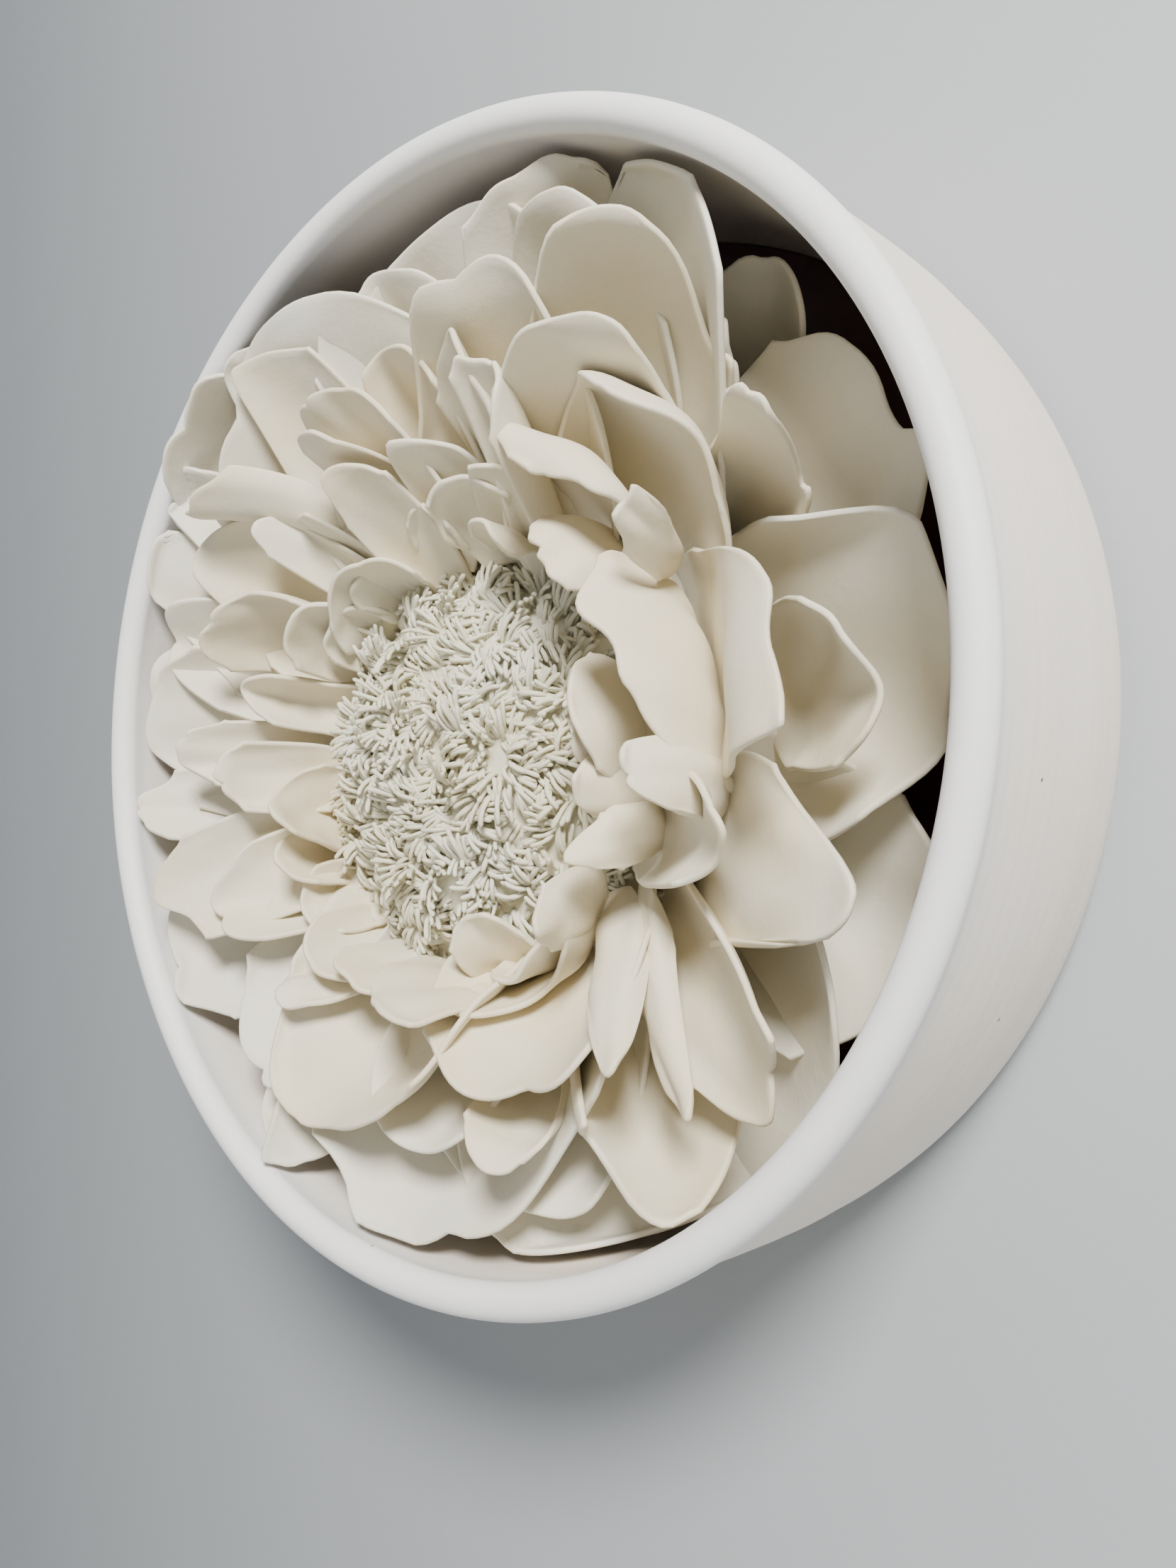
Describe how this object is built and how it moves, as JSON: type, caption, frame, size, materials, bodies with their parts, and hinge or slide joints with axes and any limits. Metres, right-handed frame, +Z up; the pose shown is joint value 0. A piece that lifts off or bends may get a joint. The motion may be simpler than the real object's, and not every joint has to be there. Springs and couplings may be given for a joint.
{
  "type": "framed porcelain wall flower",
  "caption": "Large open porcelain flower with thin handmade petals and a dome of fine threads, set in a deep round porcelain hoop on a dark board, made to hang flat on a wall.",
  "frame": {"origin": "centre of the flat back that lies on the wall", "axes": "+Y into the wall, so the front faces -Y; +Z up as it hangs"},
  "size_m": [0.3724, 0.1127, 0.3724],
  "materials": {
    "ring_porcelain": "bare fired porcelain, matte, whiter on the rolled lip",
    "maroon_board": "dark maroon satin paint",
    "bare_porcelain": "bare fired porcelain, matte, warm ivory"
  },
  "bodies": {
    "root": {"frame_ring": "ring_porcelain", "back_board": "maroon_board", "flower": "bare_porcelain"}
  },
  "joints": []
}
